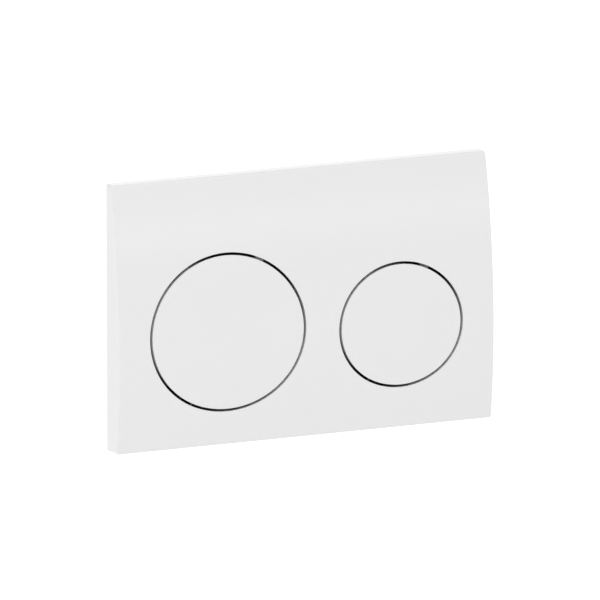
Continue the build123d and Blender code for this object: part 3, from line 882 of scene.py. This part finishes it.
def crossed_ribs(button, reach):
    """The upright rib, trimmed where the skirt leans in above, and the level rib."""
    x, z = button["x"], button["z"]
    heights = [z - reach + 2 * reach * i / BUTTON_RIB_STEPS for i in range(BUTTON_RIB_STEPS + 1)]
    upright = [(front_depth(h, IN_FACE), h) for h in heights]
    heights[-1] -= lean_at(front_depth(heights[-1], BUTTON_RIB_BACK), heights[-1])
    upright += [(front_depth(h, BUTTON_RIB_BACK), h) for h in reversed(heights)]
    level = front_band((z - RIB_WALL / 2, z + RIB_WALL / 2), IN_FACE, BUTTON_RIB_BACK)
    return [prism("upright_rib", upright, x, RIB_WALL), prism("level_rib", level, x, 2 * reach)]


print("skirt leans in by", lean_at(SKIRT_DEPTH, CREST_Z), "mm at its back edge")

# %% A button's arms and ears
ROOT_DEPTH, ARM_FRONT, ARM_EYE, ARM_ROOT, EYE_STEPS, ARM_BORE_GAP = 14.0, 10.2, 3.2, 14.0, 16, 0.05
EAR_WIDTH, EAR_FRONT, EAR_THICKNESS, EAR_ROOT = 7.0, 9.5, 2.2, 6.0
PAD_WIDTH, PAD_HEIGHT, PAD_GAP, EAR_OVERHANG = 6.0, 5.0, 0.3, 0.5


def chord(radius, offset):
    """Height of a circle's rim above its middle, at an offset to the side."""
    return math.sqrt(radius**2 - offset**2)


def arm_outline(button, reach):
    """A hinge arm from the side: its root behind the face, its way out of the skirt, its round eye."""
    step, hinge_z = button["z"] + chord(reach, button["arm_x"] + ARM_WIDTH / 2), button["hinge_z"]
    outline = [(ROOT_DEPTH, step - ARM_ROOT)]
    outline += [(depth, step - lean_at(depth, step)) for depth in (ROOT_DEPTH, ARM_FRONT)]
    outline.append((ARM_FRONT, hinge_z))
    for i in range(1, EYE_STEPS + 1):
        turn = math.pi * i / EYE_STEPS
        outline.append((HINGE_DEPTH + ARM_EYE * math.cos(turn), hinge_z + ARM_EYE * math.sin(turn)))
    outline.append((HINGE_DEPTH, step - ARM_ROOT))
    return outline


def ear_outline(button, reach):
    """A stop ear from the side: it leaves the skirt below and runs past the pad that it carries."""
    step = button["z"] - chord(reach, button["ear_x"] + EAR_WIDTH / 2)
    pad_top = button["z"] - chord(button["radius"], button["ear_x"] - PAD_WIDTH / 2) - PAD_GAP
    end, back = pad_top - PAD_HEIGHT - EAR_OVERHANG, EAR_FRONT - EAR_THICKNESS
    return [
        (ROOT_DEPTH, step + EAR_ROOT),
        (ROOT_DEPTH, step),
        (EAR_FRONT, step),
        (EAR_FRONT, end),
        (back, end),
        (back, step + EAR_ROOT),
    ]


for key, button in BUTTONS.items():
    print(key, "arm reaches", round(button["hinge_z"] - button["z"], 1), "mm above the button's middle")

# %% Both buttons
for key, button in BUTTONS.items():
    cap = button_skin(f"{key}_button_cap", button)
    x, reach = button["x"], button["radius"] - IN_FACE
    arm, ear = arm_outline(button, reach), ear_outline(button, reach)
    parts = [boss(button)] + crossed_ribs(button, reach)
    for side in (-1, 1):
        parts.append(prism("arm", arm, x + side * button["arm_x"], ARM_WIDTH))
        parts.append(prism("ear", ear, x + side * button["ear_x"], EAR_WIDTH))
    combine(cap, parts, "UNION")
    bore = circle(HINGE_DEPTH, button["hinge_z"], PIN_RADIUS + ARM_BORE_GAP, BORE_POINTS)
    combine(cap, [prism("pin_bore", bore, x, 2 * (button["arm_x"] + ARM_WIDTH))], "DIFFERENCE")
    dress(cap, "button_gloss", f"{key}_button", f"{key}_flush_button")

# %% [markdown]
# ## Repeated marks
# What repeats by a rule is made by Geometry Nodes, because copies made by hand don't follow when a
# size changes. Two trees make the small marks on these pieces. The first sets a row of bars on each
# side of an axis: as ribs they give the hand nuts their grip, and as cutters they groove the push
# rods, which are adjusted and cut along such grooves. The second lays out round marks in rows, as the
# pins leave them that push a moulding out of its mould. Each tree has named inputs for its sizes,
# works along Z, and ends in a plain mesh that is laid along Y where it belongs.


# %% Helpers for geometry trees
def geometry_tree(name, inputs):
    """An empty geometry tree with named inputs and a material, and what it is given."""
    tree = bpy.data.node_groups.new(name, "GeometryNodeTree")
    for label, kind in {"Geometry": "Geometry", **inputs, "Material": "Material"}.items():
        tree.interface.new_socket(label, in_out="INPUT", socket_type=f"NodeSocket{kind}")
    tree.interface.new_socket("Geometry", in_out="OUTPUT", socket_type="NodeSocketGeometry")
    return tree, tree.nodes.new("NodeGroupInput").outputs


def close_tree(tree, given, geometry):
    """Realize what a tree made, give it the tree's material and send it out."""
    real = add_node(tree, "GeometryNodeRealizeInstances", {"Geometry": geometry}).outputs["Geometry"]
    painted = add_node(tree, "GeometryNodeSetMaterial", {"Geometry": real, "Material": given["Material"]})
    add_node(tree, "NodeGroupOutput", {"Geometry": painted.outputs["Geometry"]})
    print(tree.name, "inputs:", [label for label in given.keys() if label])
    return tree


def joined_xyz(tree, x, y, z):
    """A vector from three sockets or numbers."""
    return add_node(tree, "ShaderNodeCombineXYZ", {"X": x, "Y": y, "Z": z}).outputs["Vector"]


def from_tree(name, tree, values):
    """A plain mesh object from a geometry tree with these values for its named inputs."""
    holder = new_object(name, bpy.data.meshes.new(name))
    modifier = holder.modifiers.new("tree", "NODES")
    modifier.node_group = tree
    for item in tree.interface.items_tree:
        if item.in_out == "INPUT" and item.name in values:
            modifier[item.identifier] = values[item.name]
    return settle(holder)


def lay_along_y(made, x, depth, z):
    """Turn a mesh from Z to Y and put its middle at a place."""
    turn = Matrix.Rotation(math.radians(-90), 4, "X")
    made.data.transform(Matrix.Translation(place(x, depth, z)) @ turn)


print("tree helpers ready")

# %% The tree of marks around an axis
MARKS_INPUTS = {
    "Sides": "Int",
    "First Turn": "Float",
    "Distance": "Float",
    "Marks": "Int",
    "Step": "Vector",
    "Mark Size": "Vector",
    "Mark Turn": "Vector",
}
tree, given = geometry_tree("marks_around", MARKS_INPUTS)
spaces = math_node(tree, "SUBTRACT", given["Marks"], 1.0)
half_length = {0: given["Step"], "Scale": math_node(tree, "MULTIPLY", spaces, -0.5)}
half_row = add_node(tree, "ShaderNodeVectorMath", half_length, operation="SCALE")
to_start = {0: joined_xyz(tree, given["Distance"], 0.0, 0.0), 1: half_row.outputs["Vector"]}
row_start = add_node(tree, "ShaderNodeVectorMath", to_start, operation="ADD")
row_line = add_node(
    tree,
    "GeometryNodeMeshLine",
    {"Count": given["Marks"], "Start Location": row_start.outputs["Vector"], "Offset": given["Step"]},
)
bar = add_node(tree, "GeometryNodeMeshCube", {"Size": given["Mark Size"]})
row = add_node(
    tree,
    "GeometryNodeInstanceOnPoints",
    {"Points": row_line.outputs["Mesh"], "Instance": bar.outputs["Mesh"], "Rotation": given["Mark Turn"]},
)
side_number = tree.nodes.new("GeometryNodeInputIndex").outputs["Index"]
side_turn = math_node(tree, "DIVIDE", 2 * math.pi, given["Sides"])
turned = math_node(tree, "MULTIPLY", side_number, side_turn)
turned = math_node(tree, "ADD", turned, given["First Turn"])
around = add_node(tree, "GeometryNodePoints", {"Count": given["Sides"]})
wheel = add_node(
    tree,
    "GeometryNodeInstanceOnPoints",
    {
        "Points": around.outputs["Points"],
        "Instance": row.outputs["Instances"],
        "Rotation": joined_xyz(tree, 0.0, 0.0, turned),
    },
)
marks_around = close_tree(tree, given, wheel.outputs["Instances"])

# %% The tree of pin marks
PIN_MARK_LENGTHS, PIN_MARK_POINTS = ("Width", "Height", "Radius", "Thickness"), 28
pin_mark_inputs = {"Columns": "Int", "Rows": "Int", **dict.fromkeys(PIN_MARK_LENGTHS, "Float")}
tree, given = geometry_tree("pin_marks", pin_mark_inputs)
field = add_node(
    tree,
    "GeometryNodeMeshGrid",
    {
        "Size X": given["Width"],
        "Size Y": given["Height"],
        "Vertices X": given["Columns"],
        "Vertices Y": given["Rows"],
    },
)
disc = add_node(
    tree,
    "GeometryNodeMeshCylinder",
    {"Vertices": PIN_MARK_POINTS, "Radius": given["Radius"], "Depth": given["Thickness"]},
)
discs = {"Points": field.outputs["Mesh"], "Instance": disc.outputs["Mesh"]}
laid_out = add_node(tree, "GeometryNodeInstanceOnPoints", discs)
pin_marks = close_tree(tree, given, laid_out.outputs["Instances"])

# %% [markdown]
# ## Small mouldings and metal pieces
# The frame, the guard panel, the rods and the other small pieces already have the right shape, but a
# solid's edges are perfectly sharp, and no moulded or stamped edge is. They could be drawn again, but
# the solid is already right. So each piece is copied from its solid, its loose triangles are merged
# into clean faces, and a bevel rounds its edges by a few tenths of a millimetre. It takes a little
# off outer edges and leaves a small fillet in inner corners, and the faces that fit stay in place.

# %% Helper that rounds a copy of a solid
MERGE_DISTANCE, FLAT_ANGLE, BEVEL_STEPS = 2e-6, 0.5, 2


def bevel_edges(piece, width, degrees):
    """Add a bevel of a width in millimetres to the edges that turn by more than an angle."""
    bevel = piece.modifiers.new("rounded_edges", "BEVEL")
    bevel.width = width * MM
    bevel.segments = BEVEL_STEPS
    bevel.limit_method = "ANGLE"
    bevel.angle_limit = math.radians(degrees)
    return bevel


def rounded_copy(node, width, slot, cutters=()):
    """A copy of a solid with merged faces and rounded edges, less its cutters, which stands for it."""
    source = frame["nodes"][node]
    mesh = source.data.copy()
    mesh.name = f"{node}_rounded"
    edit = bmesh.new()
    edit.from_mesh(mesh)
    bmesh.ops.remove_doubles(edit, verts=edit.verts, dist=MERGE_DISTANCE)
    bmesh.ops.dissolve_limit(
        edit,
        angle_limit=math.radians(FLAT_ANGLE),
        verts=edit.verts,
        edges=edit.edges,
        use_dissolve_boundaries=False,
    )
    edit.to_mesh(mesh)
    edit.free()
    # The shading that the solid brought along belongs to its loose triangles
    if "custom_normal" in mesh.attributes:
        mesh.attributes.remove(mesh.attributes["custom_normal"])
    piece = new_object(f"{node}_rounded", mesh)
    bevel_edges(piece, width, SHARP_ANGLE).loop_slide = False
    settle(piece)
    if cutters:
        combine(piece, cutters, "DIFFERENCE")
    dress(piece, slot, source["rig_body"], node)


print("bevels have", BEVEL_STEPS, "steps")

# %% Frame, panel and small pieces
ROUNDED = [
    ("mounting_frame", 0.4, "frame_plastic"),
    ("guard_panel", 0.3, "panel_plastic"),
    ("stud_washer_left", 0.15, "zinc_steel"),
    ("stud_washer_right", 0.15, "zinc_steel"),
]
for key in BUTTONS:
    ROUNDED += [
        (f"{key}_rod_head", 0.3, "rod_plastic"),
        (f"{key}_rod_lock", 0.12, "nut_plastic"),
        (f"{key}_rod_tip", 0.5, "soft_rubber"),
        (f"{key}_stop_pads", 0.25, "soft_rubber"),
        (f"{key}_pin_clip", 0.1, "spring_steel"),
        (f"{key}_hinge_pin", 0.3, "spring_steel"),
    ]
for node, width, slot in ROUNDED:
    rounded_copy(node, width, slot)

# %% Grooved push rods
ROD_HALF, ROD_ROUNDING = 3.0, 0.25
GROOVES, GROOVE_SPACING, GROOVE_SIZE, GROOVE_LENGTH = 9, 2.25, 0.7, 7.0
GROOVE_PROUD, GROOVE_MIDDLE = 0.05, -35.0
groove_values = {
    "Sides": 2,
    "First Turn": 0.0,
    "Distance": (ROD_HALF + GROOVE_PROUD) * MM,
    "Marks": GROOVES,
    "Step": (0.0, 0.0, GROOVE_SPACING * MM),
    "Mark Size": (GROOVE_SIZE * MM, GROOVE_LENGTH * MM, GROOVE_SIZE * MM),
    "Mark Turn": (0.0, math.pi / 4, 0.0),
    "Material": FINISHES["rod_plastic"],
}
for key, button in BUTTONS.items():
    grooves = from_tree(f"{key}_grooves", marks_around, groove_values)
    lay_along_y(grooves, button["x"], GROOVE_MIDDLE, button["z"])
    rounded_copy(f"{key}_push_rod", ROD_ROUNDING, "rod_plastic", [grooves])

# %% Pin marks on the guard panel
MARK_COLUMNS, MARK_ROWS, MARK_FIELD_WIDTH, MARK_FIELD_HEIGHT, MARK_RADIUS = 4, 3, 165.0, 103.0, 3.0
PANEL_BACK_FACE, MARK_THICKNESS, MARK_SUNK, MARK_MIDDLE_Z = -6.5, 0.3, 0.12, -3.5
mark_values = {
    "Columns": MARK_COLUMNS,
    "Rows": MARK_ROWS,
    "Width": MARK_FIELD_WIDTH * MM,
    "Height": MARK_FIELD_HEIGHT * MM,
    "Radius": MARK_RADIUS * MM,
    "Thickness": MARK_THICKNESS * MM,
    "Material": FINISHES["panel_plastic"],
}
marks = from_tree("guard_panel_marks", pin_marks, mark_values)
lay_along_y(marks, 0.0, PANEL_BACK_FACE + MARK_SUNK - MARK_THICKNESS / 2, MARK_MIDDLE_Z)
dress(marks, "panel_plastic", "plate", sharp=FINE_SHARP_ANGLE)

# %% [markdown]
# ## Springs
# Each spring is a forked strip of thin spring steel. Its foot is held flat on the guard panel by two
# tabs, and its fork bears on the back of the rod's head. The copied solid would have only a few long
# faces, which can't bend. When a button is pressed the fork goes back with the rod while the foot
# stays, so the strip is drawn as many short lengths.

# %% Helper that bends a line
SPRING_BEND, BEND_STEPS, RUN_STEPS = 2.0, 8, 6


def bent_line(points):
    """A line of straight runs with rounded corners, as a list of points."""
    path = [Vector(points[0])]
    for before, corner, after in zip(points, points[1:], points[2:]):
        before, corner, after = Vector(before), Vector(corner), Vector(after)
        arrive, leave = (corner - before).normalized(), (after - corner).normalized()
        back = SPRING_BEND * math.tan(arrive.angle(leave) / 2)
        start, end = corner - arrive * back, corner + leave * back
        path += [path[-1].lerp(start, i / RUN_STEPS) for i in range(1, RUN_STEPS + 1)]
        for i in range(1, BEND_STEPS + 1):
            share = i / BEND_STEPS
            path.append(start.lerp(corner, share).lerp(corner.lerp(end, share), share))
    last = path[-1]
    return path + [last.lerp(Vector(points[-1]), i / RUN_STEPS) for i in range(1, RUN_STEPS + 1)]


print("bend radius:", SPRING_BEND, "mm")

# %% Leaf springs
SPRING_THICKNESS, SPRING_PRONG, SPRING_EDGE, FORK_X = 0.6, 2.4, 0.3, 5.75
SPRING_FOOT, SPRING_RUN, SPRING_TAIL, BLEND_MARGIN = 7.5, 12.5, 2.5, 0.5
SPRING_ROUNDING, SPRING_SHARP_ANGLE = 0.12, 60.0
PANEL_FRONT_FACE, HEAD_BACK_FACE, HEAD_GAP = -4.0, 7.2, 0.1
FOOT_DEPTH = PANEL_FRONT_FACE + SPRING_THICKNESS / 2
TAIL_DEPTH = HEAD_BACK_FACE - HEAD_GAP - SPRING_THICKNESS / 2


def spring_strip(name, button):
    """The forked strip as a sheet without thickness."""
    z = button["z"]
    route = [
        (FOOT_DEPTH, z - SPRING_RUN - SPRING_FOOT),
        (FOOT_DEPTH, z - SPRING_RUN),
        (TAIL_DEPTH, z - SPRING_TAIL),
        (TAIL_DEPTH, z + SPRING_TAIL),
    ]
    middle = bent_line(route)
    half = FORK_X + SPRING_PRONG
    prong = [FORK_X, FORK_X + SPRING_EDGE, half - SPRING_EDGE, half]
    columns = [-x for x in reversed(prong)] + prong
    slot = len(prong) - 1
    edit = bmesh.new()
    grid = [[edit.verts.new(place(button["x"] + x, p.x, p.y)) for x in columns] for p in middle]
    for i in range(len(middle) - 1):
        forked = middle[i].y > z - SPRING_RUN
        for j in range(len(columns) - 1):
            if not (forked and j == slot):
                edit.faces.new((grid[i][j], grid[i][j + 1], grid[i + 1][j + 1], grid[i + 1][j]))
    return from_bmesh(name, edit)


for key, button in BUTTONS.items():
    spring = spring_strip(f"{key}_leaf_spring", button)
    body = spring.modifiers.new("strip", "SOLIDIFY")
    body.thickness = SPRING_THICKNESS * MM
    body.offset = 0.0
    body.use_even_offset = True
    bevel_edges(spring, SPRING_ROUNDING, SPRING_SHARP_ANGLE)
    settle(spring)
    coat(spring, "spring_steel")
    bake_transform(spring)
    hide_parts(f"{key}_return_spring")
    print(spring.name, len(spring.data.polygons), "faces")

# %% [markdown]
# ## Studs and nuts
# The studs are threaded rods, and the nuts are turned by hand, so they have grip ribs. A bump could
# draw the thread, but the stud's outline would stay straight, so a tree winds a spiral, sweeps a
# ridge along it and adds the core. The thread stays inside the plain stud that the solids have, and
# the ribs stay inside the circle through the nut's corners.

# %% The thread tree
THREAD_LENGTHS = ("Core Radius", "Ridge", "Pitch", "Length")
TURN_STEPS, RIDGE_POINTS, CORE_POINTS = 28, 4, 40
tree, given = geometry_tree("stud_thread", dict.fromkeys(THREAD_LENGTHS, "Float"))
wound = math_node(tree, "SUBTRACT", given["Length"], given["Pitch"])
spiral = add_node(
    tree,
    "GeometryNodeCurveSpiral",
    {
        "Resolution": TURN_STEPS,
        "Rotations": math_node(tree, "DIVIDE", wound, given["Pitch"]),
        "Start Radius": given["Core Radius"],
        "End Radius": given["Core Radius"],
        "Height": wound,
    },
)
profile_sizes = {"Resolution": RIDGE_POINTS, "Radius": given["Ridge"]}
profile = add_node(tree, "GeometryNodeCurvePrimitiveCircle", profile_sizes)
ridge = add_node(
    tree,
    "GeometryNodeCurveToMesh",
    {"Curve": spiral.outputs["Curve"], "Profile Curve": profile.outputs["Curve"], "Fill Caps": True},
)
half_back = math_node(tree, "MULTIPLY", wound, -0.5)
centred = add_node(
    tree,
    "GeometryNodeTransform",
    {"Geometry": ridge.outputs["Mesh"], "Translation": joined_xyz(tree, 0.0, 0.0, half_back)},
)
core_sizes = {"Vertices": CORE_POINTS, "Radius": given["Core Radius"], "Depth": given["Length"]}
core = add_node(tree, "GeometryNodeMeshCylinder", core_sizes)
both = add_node(tree, "GeometryNodeJoinGeometry", {"Geometry": centred.outputs["Geometry"]})
feed(tree, both, {"Geometry": core.outputs["Mesh"]})
stud_thread = close_tree(tree, given, both.outputs["Geometry"])

# %% Helpers for the studs
STUD_Z, THREAD_CLEARANCE = 0.0, 0.01


def threaded(name, radius, ridge, pitch, low, high, x):
    """One threaded length of a stud between two depths, just inside its full radius."""
    sizes = {
        "Core Radius": radius - ridge,
        "Ridge": ridge - THREAD_CLEARANCE,
        "Pitch": pitch,
        "Length": high - low,
    }
    values = {label: size * MM for label, size in sizes.items()}
    made = from_tree(name, stud_thread, {**values, "Material": FINISHES["zinc_steel"]})
    lay_along_y(made, x, (low + high) / 2, STUD_Z)
    return made


def join_into(target, other):
    """Add another mesh to a target's mesh, and remove its object."""
    edit = bmesh.new()
    edit.from_mesh(target.data)
    edit.from_mesh(other.data)
    edit.to_mesh(target.data)
    edit.free()
    bpy.data.objects.remove(other)


print("threads stay", THREAD_CLEARANCE, "mm inside their studs")

# %% Studs and hand nuts
STUD_X, STUD_SHOULDER, STUD_FRONT, STUD_BACK = 106.0, 4.0, 11.0, 32.0
STUD_RADIUS, STUD_RIDGE, STUD_PITCH = 3.0, 0.45, 1.0
NECK_RADIUS, NECK_RIDGE, NECK_PITCH = 2.5, 0.4, 0.8
NUT_SIDES, NUT_APOTHEM, NUT_DEPTH, NUT_THICKNESS, NUT_ROUNDING = 8, 6.0, 4.2, 5.0, 0.4
GRIP_RIBS, GRIP_SPACING, GRIP_SIZE, GRIP_LENGTH, GRIP_SUNK = 3, 1.3, 0.6, 3.6, 0.05
stud_sizes = (STUD_RADIUS, STUD_RIDGE, STUD_PITCH, -STUD_BACK, -STUD_SHOULDER)
neck_sizes = (NECK_RADIUS, NECK_RIDGE, NECK_PITCH, -STUD_SHOULDER, STUD_FRONT)
grip_values = {
    "Sides": NUT_SIDES,
    "First Turn": math.pi / NUT_SIDES,
    "Distance": (NUT_APOTHEM - GRIP_SUNK) * MM,
    "Marks": GRIP_RIBS,
    "Step": (0.0, GRIP_SPACING * MM, 0.0),
    "Mark Size": (GRIP_SIZE * MM, GRIP_SIZE * MM, GRIP_LENGTH * MM),
    "Mark Turn": (0.0, 0.0, 0.0),
    "Material": FINISHES["nut_plastic"],
}
for x, hand in ((-STUD_X, "left"), (STUD_X, "right")):
    stud = threaded(f"stud_thread_{hand}", *stud_sizes, x)
    join_into(stud, threaded(f"stud_neck_{hand}", *neck_sizes, x))
    dress(stud, "zinc_steel", "plate", f"fixing_stud_{hand}", FINE_SHARP_ANGLE)
    rounded_copy(f"hand_nut_{hand}", NUT_ROUNDING, "nut_plastic")
    grip = from_tree(f"hand_nut_{hand}_grip", marks_around, grip_values)
    lay_along_y(grip, x, NUT_DEPTH + NUT_THICKNESS / 2, STUD_Z)
    dress(grip, "nut_plastic", "plate", sharp=FINE_SHARP_ANGLE)
